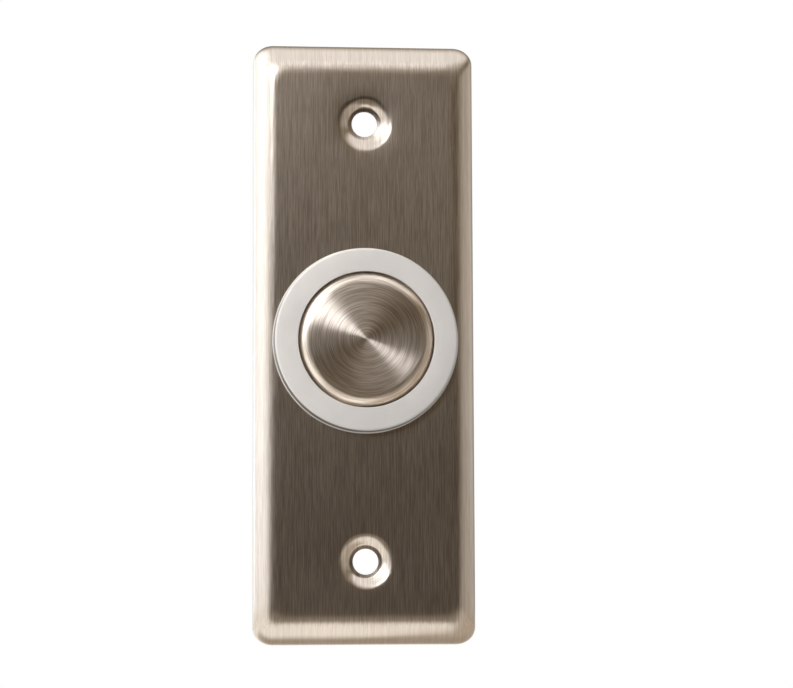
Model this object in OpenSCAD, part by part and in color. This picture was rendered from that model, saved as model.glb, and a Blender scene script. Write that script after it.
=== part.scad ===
// Wall push button: a pressed metal plate, a halo ring lit from behind and a metal cap that works a
// snap switch in a housing behind the wall.
// The front faces -Y and +Z is up. The origin lies on the wall plane, on the axis of the button.
// Every module is drawn with x to the right, y up and z out of the wall, then turned by upright().

/* [Faceplate] */
// Strip of plate on each side of the ring, bend included
side_land = 3.85; // [3.6:0.05:12]
// Distance from a screw hole to the nearer end of the plate
end_land = 15.75; // [11:0.25:30]
// Distance between the two screw holes
screw_pitch = 84; // [64:0.5:130]
// Depth of the plate from the wall to its front face
plate_depth = 6; // [5.5:0.1:10]
// Thickness of the sheet metal
sheet_t = 1.2; // [0.8:0.1:1.4]
// Outer bend radius along the two long sides
side_bend_r = 4.2; // [2.5:0.1:4.2]
// Outer bend radius along the two ends
end_bend_r = 5.4; // [2.5:0.1:5.4]
// Corner radius of the plate seen from the front
corner_r = 3.2; // [2:0.1:6]
// Least straight length of the rim behind its bend
rim_l = 0.4; // [0.2:0.1:2]

/* [Screw holes] */
// Diameter of a screw hole
screw_hole_d = 4.8; // [3.5:0.1:5.4]
// Flat land round a screw hole, at the bottom of its dimple
screw_land = 0.3; // [0.2:0.05:1.5]
// Depth of the dimple below the front face
dimple_depth = 1.5; // [1.1:0.05:1.8]
// Inside radius of the bend at the dimple's rim
dimple_rim_r = 0.4; // [0.2:0.05:0.6]
// Radius of the bend at the dimple's foot
dimple_foot_r = 0.8; // [0.2:0.05:0.8]
// Slope of the dimple's cone
dimple_slope = 45; // [40:1:55]

/* [Halo ring] */
// Outside diameter of the ring
ring_d = 34.8; // [33:0.1:44]
// Height of the ring's face above the plate
ring_stand = 3.3; // [2:0.1:6]
// Rounding of the ring's two front edges
ring_edge_r = 0.45; // [0.2:0.05:0.8]
// How far the ring's foot stands out past its face
ring_foot = 0.35; // [0.2:0.05:0.8]
// Height of the upright edge of the ring's foot
ring_foot_h = 0.3; // [0.1:0.05:0.5]
// How far the ring laps over its hole in the plate
ring_lap = 2.4; // [2:0.05:4]
// Wall of the sleeve behind the ring
sleeve_wall = 1.9; // [1.6:0.05:3]
// Thickness of the gasket under the ring
gasket_t = 0.5; // [0.3:0.05:1]
// How far the gasket stays back from the ring's edge
gasket_inset = 0.35; // [0.2:0.05:0.8]

/* [Fixing nut and washer] */
// Thickness of the lock washer
washer_t = 0.8; // [0.5:0.05:1.2]
// Number of teeth of the lock washer
washer_teeth = 18; // [8:1:24]
// Width of a gap between two teeth of the lock washer
tooth_gap_w = 1.6; // [0.8:0.1:2.4]
// Thickness of the fixing nut
nut_t = 3.2; // [2:0.1:4]
// Radial wall of the fixing nut
nut_wall = 3.2; // [2.4:0.05:3.6]
// Number of grip flutes round the fixing nut
nut_flutes = 12; // [6:1:18]
// Radius of a grip flute
flute_r = 1.8; // [1:0.1:2.5]
// How deep a grip flute cuts into the nut
flute_depth = 0.9; // [0.4:0.1:1.4]

/* [Button] */
// How far the button slides
travel = 2; // [1:0.1:2.6]
// Height of the cap's face above the ring at rest
cap_proud = 0.8; // [0.6:0.1:3]
// Height of the cap, face to skirt
cap_h = 5.2; // [5:0.1:8]
// Thickness of the cap's metal
cap_wall = 0.8; // [0.5:0.05:1.1]
// Rounding of the cap's rim
cap_edge_r = 2; // [1.2:0.05:2.4]
// Thickness of the plunger's head under the cap
head_t = 2.4; // [1.5:0.1:3]
// Wall of the plunger's hollow head
head_wall = 1.5; // [1:0.05:2]
// Height of the plunger's skirt below the cap
skirt_h = 4; // [3:0.1:5]
// Number of stiffening ribs inside the plunger
plunger_ribs = 6; // [3:1:8]
// Thickness of a stiffening rib
rib_t = 1.2; // [0.8:0.1:1.6]
// Depth of a stiffening rib
rib_h = 4; // [2:0.1:5]
// Diameter of the plunger's stem
stem_d = 8; // [6:0.1:9]
// Stem left below the retaining clip
stem_tail = 0.8; // [0.6:0.05:2]
// Diameter of the round tip on the stem
tip_d = 3.2; // [2.4:0.1:4]
// Straight length of the tip
tip_l = 0.4; // [0.2:0.05:2]
// Diameter of the seal's round section
seal_section_d = 1.5; // [1.2:0.05:1.8]
// Thickness of the retaining clip
clip_t = 0.8; // [0.5:0.05:1.2]
// Depth of the clip's groove in the stem
clip_groove_depth = 0.9; // [0.5:0.05:1.2]
// How far the clip reaches outside the stem
clip_reach = 2; // [1.4:0.05:2.4]
// Width of the lugs that grip the groove
clip_lug_w = 2; // [1.2:0.1:2.6]

/* [Return spring] */
// Wire diameter of the return spring
wire_d = 0.9; // [0.6:0.05:1.1]
// Number of turns, dead ends included
spring_turns = 6; // [4:0.5:8]

/* [Housing] */
// Length of sleeve that the housing is screwed on
thread_l = 5; // [4:0.1:8]
// Wall of the housing's collar
collar_wall = 2; // [1.4:0.05:3]
// How far the rear skirt steps out from the collar
skirt_step = 0.5; // [0.4:0.05:2]
// Wall of the rear skirt
skirt_wall = 1.6; // [1.2:0.05:2.4]
// Thickness of the floor between light board and switch
floor_t = 2.5; // [1.8:0.1:4]
// Wall of the hub that guides the stem
hub_wall = 1.3; // [1:0.05:1.8]
// Height of the guide hub above the floor
hub_h = 6; // [4:0.1:7]
// Thickness of the two webs that hold the switch
web_t = 2; // [1.4:0.05:2.6]
// Radius of a screw boss for the rear cover
boss_r = 2.2; // [1.9:0.05:2.6]
// Number of grip ribs round the rear skirt
grip_ribs = 16; // [8:1:24]
// Width of a grip rib
grip_rib_w = 1.6; // [1:0.1:2.4]
// Height of a grip rib
grip_rib_h = 0.6; // [0.3:0.05:1]
// Thickness of the rear cover
cover_t = 2; // [1.4:0.1:3]
// Bevel round the back of the rear cover
cover_chamfer = 0.7; // [0.3:0.05:1]

/* [Light board] */
// Thickness of the board
board_t = 1; // [0.8:0.1:1.6]
// Number of lamps round the board
led_count = 8; // [4:1:10]
// Length of a lamp round the ring
led_l = 2.2; // [1.6:0.1:3]
// Width of a lamp across the ring
led_w = 1.4; // [1:0.05:1.6]
// Height of a lamp
led_h = 0.8; // [0.5:0.05:1.2]
// Number of resistors on the board
resistor_count = 4; // [4, 8]
// Length of a resistor round the board
resistor_l = 2; // [1:0.1:3]
// Width of a resistor across the board
resistor_w = 1.25; // [0.5:0.05:1.6]
// Height of a resistor
resistor_h = 0.5; // [0.3:0.05:0.8]
// Diameter of the two pegs that locate the board
peg_d = 2; // [1.4:0.1:2.4]

/* [Terminals] */
// Width of a terminal blade
blade_w = 2.8; // [2:0.1:3]
// Thickness of a terminal blade
blade_t = 0.4; // [0.3:0.05:0.5]
// Length of blade behind the rear cover
tab_l = 5; // [4:0.1:8]
// Diameter of the solder hole in a blade
solder_hole_d = 1.2; // [0.8:0.05:1.4]
// Bevel at the two corners of a blade's end
blade_chamfer = 0.6; // [0.2:0.05:0.8]

/* [Switch] */
// Free length of the switch behind the contact spring's hook
switch_tail = 1.2; // [0.4:0.1:3]
// Width of the switch
switch_w = 6.4; // [6:0.1:8]
// Wall of the switch
switch_wall = 0.8; // [0.6:0.05:1]
// Plastic above and below the two switch screws
switch_foot_wall = 0.5; // [0.4:0.05:1.5]
// Distance from the lever's hinge to the stem
lever_arm = 8; // [7.5:0.1:8.6]
// How far the lever reaches past the stem
lever_over = 2.5; // [2:0.1:4]
// Distance from the lever's hinge to the switch pin
pin_arm = 3.2; // [2.8:0.1:3.6]
// Thickness of the lever
lever_t = 0.4; // [0.3:0.05:0.6]
// Diameter of the hinge pin
hinge_d = 1.2; // [0.8:0.05:1.4]
// Metal round the hinge pin, in the lever and in its two ears
hinge_wall = 0.5; // [0.4:0.05:0.7]
// Diameter of the switch pin
switch_pin_d = 1.6; // [1.2:0.05:1.8]
// Step round the domes on the switch pin and on the tip of the stem
dome_step = 0.1; // [0.05:0.05:0.3]
// Height and overhang of the collar on the switch pin
pin_collar = 0.4; // [0.3:0.05:0.5]

/* [Contacts] */
// Distance from the contact spring's pivot to the switch pin
contact_arm = 11.3; // [10.8:0.1:11.6]
// Thickness of the contact spring
contact_spring_t = 0.25; // [0.15:0.05:0.35]
// Width of the contact spring
contact_spring_w = 2.4; // [1.6:0.1:2.8]
// Diameter of a contact button
contact_d = 1.8; // [1.4:0.05:2]
// Height of a contact button
contact_h = 0.4; // [0.3:0.05:0.6]
// Diameter of the rod that the contact spring hooks over
pivot_rod_d = 0.9; // [0.7:0.05:1]
// Metal of the hook round that rod
hook_wall = 0.35; // [0.25:0.05:0.4]

/* [Small screws] */
// Diameter of the small screws
small_screw_d = 2.2; // [1.6:0.05:2.4]
// Diameter of their heads
small_head_d = 4; // [3.2:0.1:4.4]
// Height of their heads
small_head_h = 1.3; // [0.8:0.05:1.8]
// Depth of a cover screw in its boss
cover_screw_l = 8; // [5:0.5:11]

/* [Clearances] */
// Groove between cap and ring
cap_gap = 0.3; // [0.25:0.05:0.6]
// Gap between the sleeve and the hole in the plate
sleeve_gap = 0.2; // [0.1:0.05:0.5]
// Radial play of screwed and pushed fits
fit_gap = 0.05; // [0.03:0.01:0.1]
// Radial play of the sliding stem and pin
slide_gap = 0.05; // [0.02:0.01:0.1]
// Gap between seal and sleeve
seal_gap = 0.1; // [0.05:0.01:0.15]
// Gap between pieces that push on each other
push_gap = 0.1; // [0.06:0.01:0.15]
// Free room round a fixed piece
room = 0.5; // [0.4:0.05:0.8]
// Free room round a spring
spring_room = 0.8; // [0.5:0.05:1]

/* [Hidden] */
$fn = 64;

// How far a cut runs past a face, and how far joined bodies of one piece run into each other
past = 1;
lap = 0.3;
// Straight steps along the bend of a turned section
arc_steps = 8;

// Plate
plate_w = ring_d + 2 * side_land;
plate_h = screw_pitch + 2 * end_land;
face_z = plate_depth;
inner_z = face_z - sheet_t;
side_r = min(side_bend_r, plate_depth - rim_l);
end_r = min(end_bend_r, plate_depth - rim_l);
screw_hole_r = screw_hole_d / 2;
dimple_z = face_z - dimple_depth;
dimple_roll_r = dimple_rim_r + sheet_t;
dimple_bends = dimple_roll_r + dimple_foot_r;
cone_l = (dimple_depth - dimple_bends * (1 - cos(dimple_slope))) / sin(dimple_slope);
foot_r = screw_hole_r + screw_land;
dimple_r = foot_r + dimple_bends * sin(dimple_slope) + cone_l * cos(dimple_slope);

// Ring, sleeve, gasket, washer and nut
ring_r = ring_d / 2;
ring_foot_r = ring_r + ring_foot;
sleeve_r = ring_r - ring_lap;
bore_r = sleeve_r - sleeve_wall;
plate_bore_r = sleeve_r + sleeve_gap;
ring_base_z = face_z + gasket_t;
ring_z = face_z + ring_stand;
washer_r = plate_w / 2 - side_r - fit_gap;
washer_z = inner_z - washer_t;
nut_r = sleeve_r + nut_wall;
nut_z = washer_z - nut_t;
collar_z = nut_z - room;
sleeve_z = collar_z - thread_l;

// Cap and plunger
cap_r = bore_r - cap_gap;
cap_z = ring_z + cap_proud;
cap_skirt_z = cap_z - cap_h;
head_z = cap_z - cap_wall;
head_r = cap_r - cap_wall - fit_gap;
hollow_r = head_r - head_wall;
hollow_z = head_z - head_t;
plunger_z = cap_skirt_z - skirt_h;
seal_r = seal_section_d / 2;
seal_ring_r = bore_r - seal_gap - seal_r;
seal_z = (cap_skirt_z + plunger_z) / 2;
stem_r = stem_d / 2;
tip_r = tip_d / 2;

// Light board and housing floor
board_z = sleeve_z - room - led_h;
floor_z = board_z - board_t;
floor_back_z = floor_z - floor_t;
guide_r = stem_r + slide_gap;
hub_r = guide_r + hub_wall;
hub_z = floor_z + hub_h;
spring_r = hub_r + spring_room + wire_d / 2;
spring_out_r = spring_r + wire_d / 2;
thread_r = sleeve_r + fit_gap;
board_r = thread_r - fit_gap;
board_in_r = spring_out_r + spring_room;
led_ring_r = (bore_r + sleeve_r) / 2;
board_mid_r = (board_in_r + led_ring_r - led_w / 2) / 2;

// Retaining clip and tip of the stem
clip_front_z = floor_back_z - push_gap;
clip_z = clip_front_z - clip_t;
clip_groove_r = stem_r - clip_groove_depth;
clip_r = stem_r + clip_reach;
stem_z = clip_z - stem_tail;
tip_z = stem_z - tip_l;

// Lever: it swings by the same angle above and below the level position
swing = travel / lever_arm * 180 / PI;
tilt = swing / 2;
hinge_y = lever_arm;
hinge_z = tip_z - lever_arm * tan(tilt) - (tip_r + lever_t / 2 + push_gap) / cos(tilt);
lever_l = lever_arm + lever_over;
lever_w = switch_w - 2 * switch_wall - 2 * push_gap;
hinge_r = hinge_d / 2;
knuckle_r = hinge_r + hinge_wall;
pin_y = hinge_y - pin_arm;
pin_r = switch_pin_d / 2;
pin_travel = travel * pin_arm / lever_arm;
pin_dome_z = hinge_z + pin_arm * tan(tilt) - (pin_r - dome_step + lever_t / 2 + push_gap) / cos(tilt);

// Contacts, from the top of the switch down
switch_z = hinge_z - lever_l * sin(tilt) - lever_t / 2 - room;
cavity_top_z = switch_z - switch_wall;
contact_r = contact_d / 2;
contact_reach = contact_arm + pin_r + pin_collar + room + contact_r;
contact_tilt = pin_travel / contact_arm * 90 / PI;
tip_drop = contact_reach * tan(contact_tilt);
pivot_y = pin_y - contact_arm;
contact_y = pivot_y + contact_reach;
pivot_rod_r = pivot_rod_d / 2;
hook_in_r = pivot_rod_r + slide_gap;
hook_r = hook_in_r + hook_wall;
closed_face_z = cavity_top_z - fit_gap - blade_t - contact_h;
pivot_z = closed_face_z - push_gap - contact_h - contact_spring_t / 2 - tip_drop;
open_face_z = pivot_z - tip_drop - contact_spring_t / 2 - contact_h - push_gap;
pin_foot_z = pivot_z + contact_arm * tan(contact_tilt) + contact_spring_t / 2 + push_gap;

// Switch body, its terminals and its two screws, one between each pair of terminals
closed_blade_y = contact_y + contact_r + room;
common_blade_y = pivot_y - blade_t / 2;
open_blade_y = (closed_blade_y + common_blade_y) / 2;
switch_blades = [closed_blade_y, open_blade_y, common_blade_y];
switch_low_y = pivot_y - hook_r - switch_tail - switch_wall;
switch_high_y = closed_blade_y + blade_t + fit_gap + switch_wall;
screw_r = small_screw_d / 2;
screw_bore_r = screw_r + fit_gap;
cavity_z = open_face_z - contact_h - blade_t - fit_gap;
switch_screw_z = cavity_z - switch_foot_wall - screw_bore_r;
foot_z = switch_screw_z - screw_bore_r - switch_foot_wall;
switch_screw_ys = [
    for (i = [0, 1]) (switch_blades[i] + switch_blades[i + 1] + blade_t) / 2
];
web_x = switch_w / 2 + fit_gap;
web_z = stem_z - travel - room;

// Rear skirt and cover
back_z = foot_z - room;
cover_z = back_z - cover_t;
tab_z = cover_z - tab_l;
collar_r = thread_r + collar_wall;
switch_reach = max(switch_high_y, -switch_low_y);
skirt_for_switch = switch_reach + room + 2 * boss_r - lap + skirt_wall;
skirt_r = max(collar_r + skirt_step, skirt_for_switch);
skirt_in_r = skirt_r - skirt_wall;
shoulder_z = floor_z - (skirt_r - collar_r);
boss_y = skirt_in_r + lap - boss_r;

// Coil: one dead turn at each end, open turns between
coil_sides = 8;
coil_steps = 18;
dead_pitch = wire_d + fit_gap;
coil_low_z = floor_z + fit_gap + wire_d / 2;
coil_high_z = hollow_z - fit_gap - wire_d / 2;
open_pitch = (coil_high_z - coil_low_z - 2 * dead_pitch) / (spring_turns - 2);

function polar(r, a) = [r * cos(a), r * sin(a)];

// Points along an arc in a half section
function arc(center, r, a_start, a_end) =
    [for (i = [0 : arc_steps]) center + polar(r, a_start + (a_end - a_start) * i / arc_steps)];

function coil_z(turn) =
    turn < 1 ? coil_low_z + turn * dead_pitch :
    turn > spring_turns - 1 ? coil_high_z - (spring_turns - turn) * dead_pitch :
    coil_low_z + dead_pitch + (turn - 1) * open_pitch;

function coil_point(turn, side) =
    let (across = polar(wire_d / 2, 360 * side / coil_sides))
    let (around = polar(spring_r + across[0], 360 * turn))
    [around[0], around[1], coil_z(turn) + across[1]];

// Turns a piece from the drawing position to its place on the wall
module upright() {
    rotate([90, 0, 0])
        children();
}

// Extrudes an outline drawn in y and z along x
module along_x(x_start, length) {
    translate([x_start, 0, 0])
        rotate([90, 0, 90])
            linear_extrude(length)
                children();
}

module tube(r_in, r_out, z_low, z_high) {
    translate([0, 0, z_low])
        linear_extrude(z_high - z_low)
            difference() {
                circle(r_out);
                circle(r_in);
            }
}

module box(x_size, y_size, z_low, z_high) {
    translate([-x_size / 2, -y_size / 2, z_low])
        cube([x_size, y_size, z_high - z_low]);
}

module drill(r, z_low, z_high) {
    translate([0, 0, z_low])
        cylinder(r = r, h = z_high - z_low);
}

module drill_x(r, reach) {
    rotate([0, 90, 0])
        cylinder(r = r, h = 2 * reach, center = true);
}

module drill_y(r, reach) {
    rotate([90, 0, 0])
        cylinder(r = r, h = 2 * reach, center = true);
}

// Quarter disc with its corner at the origin
module quarter(r) {
    intersection() {
        circle(r);
        square(2 * r);
    }
}

module rounded_rectangle(w, h, r) {
    square([w - 2 * r, h], center = true);
    square([w, h - 2 * r], center = true);
    for (x = [0, 1], y = [0, 1])
        mirror([x, 0])
            mirror([0, y])
                translate([w / 2 - r, h / 2 - r])
                    quarter(r);
}

// Outline of a bent sheet's outside: square at the back, rounded at its two front corners
module bent_outline(w, z_low, z_high, r) {
    translate([-w / 2, z_low])
        square([w, z_high - r - z_low]);
    translate([-w / 2 + r, z_low])
        square([w - 2 * r, z_high - z_low]);
    for (side = [0, 1])
        mirror([side, 0])
            translate([w / 2 - r, z_high - r])
                quarter(r);
}

// Solid of a pressed tray: bent along its sides and ends, rounded at its corners
module tray_solid(w, h, z_low, z_high, side_bend, end_bend, plan_r) {
    intersection() {
        translate([0, 0, z_low])
            linear_extrude(z_high - z_low)
                rounded_rectangle(w, h, plan_r);
        along_x(-w / 2 - past, w + 2 * past)
            bent_outline(h, z_low, z_high, end_bend);
        translate([0, h / 2 + past, 0])
            rotate([90, 0, 0])
                linear_extrude(h + 2 * past)
                    bent_outline(w, z_low, z_high, side_bend);
    }
}

// Half section of the sheet round a screw hole: rim bend, cone, foot bend and land
module dimple_section() {
    rim_center = [dimple_r, face_z - dimple_roll_r];
    foot_center = [foot_r, dimple_z + dimple_foot_r];
    up = 90;
    down = 270;
    rim_end = up + dimple_slope;
    foot_end = down + dimple_slope;
    polygon(concat(
        arc(rim_center, dimple_roll_r, up, rim_end),
        arc(foot_center, dimple_foot_r, foot_end, down),
        [[screw_hole_r, dimple_z], [screw_hole_r, dimple_z - sheet_t]],
        arc(foot_center, dimple_foot_r + sheet_t, down, foot_end),
        arc(rim_center, dimple_rim_r, rim_end, up)
    ));
}

module at_screw_holes() {
    for (y = [-1, 1])
        translate([0, y * screw_pitch / 2, 0])
            children();
}

module faceplate() {
    color([0.62, 0.58, 0.53])
        upright() {
            difference() {
                tray_solid(plate_w, plate_h, 0, face_z, side_r, end_r, corner_r);
                tray_solid(plate_w - 2 * sheet_t, plate_h - 2 * sheet_t, -past, inner_z,
                    side_r - sheet_t, end_r - sheet_t, corner_r - sheet_t);
                drill(plate_bore_r, -past, face_z + past);
                at_screw_holes()
                    drill(dimple_r, -past, face_z + past);
            }
            at_screw_holes()
                rotate_extrude()
                    dimple_section();
        }
}

// Half section of a turned ring with its two front edges rounded
module ring_section(r_in, r_out, z_low, z_high, edge_r) {
    translate([r_in, z_low])
        square([r_out - r_in, z_high - edge_r - z_low]);
    translate([r_in + edge_r, z_low])
        square([r_out - r_in - 2 * edge_r, z_high - z_low]);
    translate([r_out - edge_r, z_high - edge_r])
        quarter(edge_r);
    translate([r_in + edge_r, z_high - edge_r])
        mirror([1, 0])
            quarter(edge_r);
}

module halo_ring() {
    color([0.92, 0.93, 0.92])
        upright()
            rotate_extrude() {
                ring_section(bore_r, ring_r, ring_base_z, ring_z, ring_edge_r);
                translate([bore_r, sleeve_z])
                    square([sleeve_wall, ring_base_z - sleeve_z]);
                ring_foot_section();
            }
}

// Half section of the foot: an upright edge, then a slope back into the ring's wall
module ring_foot_section() {
    slope_z = ring_z - ring_edge_r;
    polygon([
        [sleeve_r, ring_base_z], [ring_foot_r, ring_base_z], [ring_foot_r, ring_base_z + ring_foot_h],
        [ring_r - lap, slope_z], [sleeve_r, slope_z]
    ]);
}

module ring_gasket() {
    color([0.12, 0.13, 0.12])
        upright()
            tube(plate_bore_r, ring_r - gasket_inset, face_z, ring_base_z);
}

module lock_washer() {
    color([0.7, 0.7, 0.68])
        upright()
            difference() {
                tube(plate_bore_r, washer_r, washer_z, inner_z);
                for (i = [0 : washer_teeth - 1])
                    rotate(360 * i / washer_teeth)
                        translate([(plate_bore_r + washer_r) / 2, -tooth_gap_w / 2, washer_z - past])
                            cube([washer_r, tooth_gap_w, washer_t + 2 * past]);
            }
}

module fixing_nut() {
    color([0.15, 0.15, 0.16])
        upright()
            difference() {
                tube(thread_r, nut_r, nut_z, washer_z);
                for (i = [0 : nut_flutes - 1])
                    rotate(360 * i / nut_flutes)
                        translate([nut_r + flute_r - flute_depth, 0, 0])
                            drill(flute_r, nut_z - past, washer_z + past);
            }
}

module button_cap() {
    color([0.72, 0.69, 0.65])
        upright()
            rotate_extrude()
                difference() {
                    cap_section(cap_r, cap_skirt_z, cap_z, cap_edge_r);
                    cap_section(cap_r - cap_wall, cap_skirt_z - past, head_z, cap_edge_r - cap_wall);
                }
}

// Half section of a solid cap with a rounded rim
module cap_section(r, z_low, z_high, edge_r) {
    translate([0, z_low])
        square([r, z_high - edge_r - z_low]);
    translate([0, z_low])
        square([r - edge_r, z_high - z_low]);
    translate([r - edge_r, z_high - edge_r])
        quarter(edge_r);
}

module plunger() {
    groove_r = seal_ring_r - seal_r - fit_gap;
    groove_h = seal_r + fit_gap;
    rib_in_r = spring_out_r + spring_room;
    color([0.2, 0.2, 0.21])
        upright() {
            rotate_extrude()
                polygon([
                    [0, head_z], [head_r - cap_edge_r, head_z], [head_r, head_z - cap_edge_r],
                    [head_r, cap_skirt_z], [cap_r, cap_skirt_z],
                    [cap_r, seal_z + groove_h], [groove_r, seal_z + groove_h],
                    [groove_r, seal_z - groove_h], [cap_r, seal_z - groove_h],
                    [cap_r, plunger_z], [hollow_r, plunger_z], [hollow_r, hollow_z], [stem_r, hollow_z],
                    [stem_r, clip_front_z], [clip_groove_r, clip_front_z],
                    [clip_groove_r, clip_z], [stem_r, clip_z],
                    [stem_r, stem_z], [tip_r + dome_step, stem_z], [tip_r + dome_step, tip_z], [0, tip_z]
                ]);
            translate([0, 0, tip_z])
                sphere(tip_r);
            for (i = [0 : plunger_ribs - 1])
                rotate(360 * i / plunger_ribs)
                    translate([rib_in_r, -rib_t / 2, hollow_z - rib_h])
                        cube([hollow_r + lap - rib_in_r, rib_t, rib_h + lap]);
        }
}

module plunger_seal() {
    color([0.1, 0.1, 0.1])
        upright()
            rotate_extrude()
                translate([seal_ring_r, seal_z])
                    circle(seal_r);
}

// Clip pushed on from the side: three lugs grip the groove and a mouth opens downward
module retaining_clip() {
    relief_r = stem_r + fit_gap;
    grip_r = clip_groove_r + fit_gap;
    mouth_w = 2 * clip_groove_r;
    color([0.55, 0.55, 0.56])
        upright()
            translate([0, 0, clip_z + fit_gap])
                linear_extrude(clip_t - 2 * fit_gap)
                    difference() {
                        union() {
                            difference() {
                                circle(clip_r);
                                circle(relief_r);
                                translate([-mouth_w / 2, -2 * clip_r])
                                    square([mouth_w, 2 * clip_r]);
                            }
                            for (a = [0, 90, 180])
                                rotate(a)
                                    translate([clip_groove_r - lap, -clip_lug_w / 2])
                                        square([relief_r + lap - clip_groove_r + lap, clip_lug_w]);
                        }
                        circle(grip_r);
                    }
}

module return_spring() {
    last = round(spring_turns * coil_steps);
    rings = [for (i = [0 : last], j = [0 : coil_sides - 1]) coil_point(i / coil_steps, j)];
    walls = [
        for (i = [0 : last - 1], j = [0 : coil_sides - 1])
            let (a = i * coil_sides + j, b = i * coil_sides + (j + 1) % coil_sides)
            [a, b, b + coil_sides, a + coil_sides]
    ];
    first_end = [for (j = [0 : coil_sides - 1]) coil_sides - 1 - j];
    last_end = [for (j = [0 : coil_sides - 1]) last * coil_sides + j];
    color([0.75, 0.75, 0.77])
        upright()
            polyhedron(rings, concat(walls, [first_end, last_end]), convexity = 6);
}

module at_cover_screws() {
    for (y = [-1, 1])
        translate([0, y * boss_y, 0])
            children();
}

module at_switch_screws() {
    for (y = switch_screw_ys)
        translate([0, y, switch_screw_z])
            children();
}

module at_led_terminals() {
    for (x = [-1, 1])
        translate([x * board_mid_r, 0, 0])
            children();
}

// Slot for a terminal blade that lies across x or across y
module blade_slot(x_size, y_size, z_low, z_high) {
    box(x_size + 2 * fit_gap, y_size + 2 * fit_gap, z_low, z_high);
}

module switch_housing() {
    color([0.16, 0.16, 0.17])
        upright()
            difference() {
                union() {
                    rotate_extrude()
                        polygon([
                            [guide_r, floor_back_z], [skirt_in_r, floor_back_z], [skirt_in_r, back_z],
                            [skirt_r, back_z], [skirt_r, shoulder_z], [collar_r, floor_z],
                            [collar_r, collar_z], [thread_r, collar_z], [thread_r, floor_z],
                            [hub_r, floor_z], [hub_r, hub_z], [guide_r, hub_z]
                        ]);
                    for (i = [0 : grip_ribs - 1])
                        rotate(360 * (i + 0.5) / grip_ribs)
                            translate([skirt_r - lap, -grip_rib_w / 2, back_z])
                                cube([grip_rib_h + lap, grip_rib_w, floor_back_z - back_z]);
                    at_cover_screws()
                        drill(boss_r, back_z, floor_back_z + lap);
                    switch_webs();
                    board_pegs();
                }
                at_cover_screws()
                    drill(screw_bore_r, back_z - past, back_z + cover_screw_l + room);
                at_switch_screws()
                    drill_x(screw_bore_r, web_x + web_t + past);
                screwdriver_window();
                at_led_terminals()
                    blade_slot(blade_t, blade_w, floor_back_z - past, floor_z + past);
            }
}

// Notch in the rim of the skirt, through which the switch screws are driven
module screwdriver_window() {
    reach = small_head_d / 2 + room;
    low_y = min(switch_screw_ys) - reach;
    high_y = max(switch_screw_ys) + reach;
    translate([web_x + web_t + room, low_y, back_z - past])
        cube([skirt_r, high_y - low_y, switch_screw_z + reach - back_z + past]);
}

// Two webs across the skirt that hold the switch between them
module switch_webs() {
    translate([0, 0, back_z])
        linear_extrude(web_z - back_z)
            intersection() {
                circle(skirt_in_r + lap);
                for (side = [0, 1])
                    mirror([side, 0])
                        translate([web_x, -skirt_r])
                            square([web_t, 2 * skirt_r]);
            }
}

module board_pegs() {
    for (y = [-1, 1])
        translate([0, y * board_mid_r, 0])
            drill(peg_d / 2, floor_z - lap, board_z + room);
}

module rear_cover() {
    color([0.16, 0.16, 0.17])
        upright()
            difference() {
                rotate_extrude()
                    polygon([
                        [0, cover_z], [skirt_r - cover_chamfer, cover_z], [skirt_r, cover_z + cover_chamfer],
                        [skirt_r, back_z], [0, back_z]
                    ]);
                at_cover_screws()
                    drill(screw_bore_r, cover_z - past, back_z + past);
                at_led_terminals()
                    blade_slot(blade_t, blade_w, cover_z - past, back_z + past);
                for (y = switch_blades)
                    translate([0, y + blade_t / 2, 0])
                        blade_slot(blade_w, blade_t, cover_z - past, back_z + past);
            }
}

// Small pan head screw: the head sits at z = 0 and the shank points along +z
module small_screw(shank_l) {
    rotate_extrude() {
        square([screw_r, shank_l]);
        translate([0, -small_head_h / 2])
            square([small_head_d / 2, small_head_h / 2]);
        translate([0, -small_head_h])
            square([small_head_d / 2 - small_head_h / 2, small_head_h]);
        translate([small_head_d / 2 - small_head_h / 2, -small_head_h / 2])
            mirror([0, 1])
                quarter(small_head_h / 2);
    }
}

module cover_screws() {
    color([0.7, 0.7, 0.7])
        upright()
            at_cover_screws()
                translate([0, 0, cover_z])
                    small_screw(cover_t + cover_screw_l);
}

module led_board() {
    color([0.1, 0.32, 0.2])
        upright()
            difference() {
                tube(board_in_r, board_r, floor_z, board_z);
                for (y = [-1, 1])
                    translate([0, y * board_mid_r, 0])
                        drill(peg_d / 2 + fit_gap, floor_z - past, board_z + past);
                at_led_terminals()
                    blade_slot(blade_t, blade_w, floor_z - past, board_z + past);
            }
}

module leds() {
    color([0.95, 0.93, 0.75])
        upright()
            for (i = [0 : led_count - 1])
                rotate(360 * (i + 0.5) / led_count)
                    translate([led_ring_r, 0, 0])
                        box(led_w, led_l, board_z, board_z + led_h);
}

module resistors() {
    color([0.15, 0.15, 0.15])
        upright()
            for (i = [0 : resistor_count - 1])
                rotate(360 * (i + 0.5) / resistor_count)
                    translate([board_mid_r, 0, 0])
                        box(resistor_w, resistor_l, board_z, board_z + resistor_h);
}

module led_terminals() {
    color([0.8, 0.72, 0.5])
        upright()
            at_led_terminals()
                difference() {
                    box(blade_t, blade_w, tab_z, board_z + room);
                    translate([0, 0, tab_z + tab_l / 2])
                        drill_x(solder_hole_d / 2, past);
                    rotate(90)
                        blade_corners();
                }
}

// Outline of an ear that rises from the switch to the hinge
module ear_outline() {
    translate([hinge_y - knuckle_r, switch_z - lap])
        square([2 * knuckle_r, hinge_z - switch_z + lap]);
    translate([hinge_y, hinge_z])
        circle(knuckle_r);
}

module switch_outline() {
    translate([switch_low_y, foot_z])
        square([switch_high_y - switch_low_y, switch_z - foot_z]);
}

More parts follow.
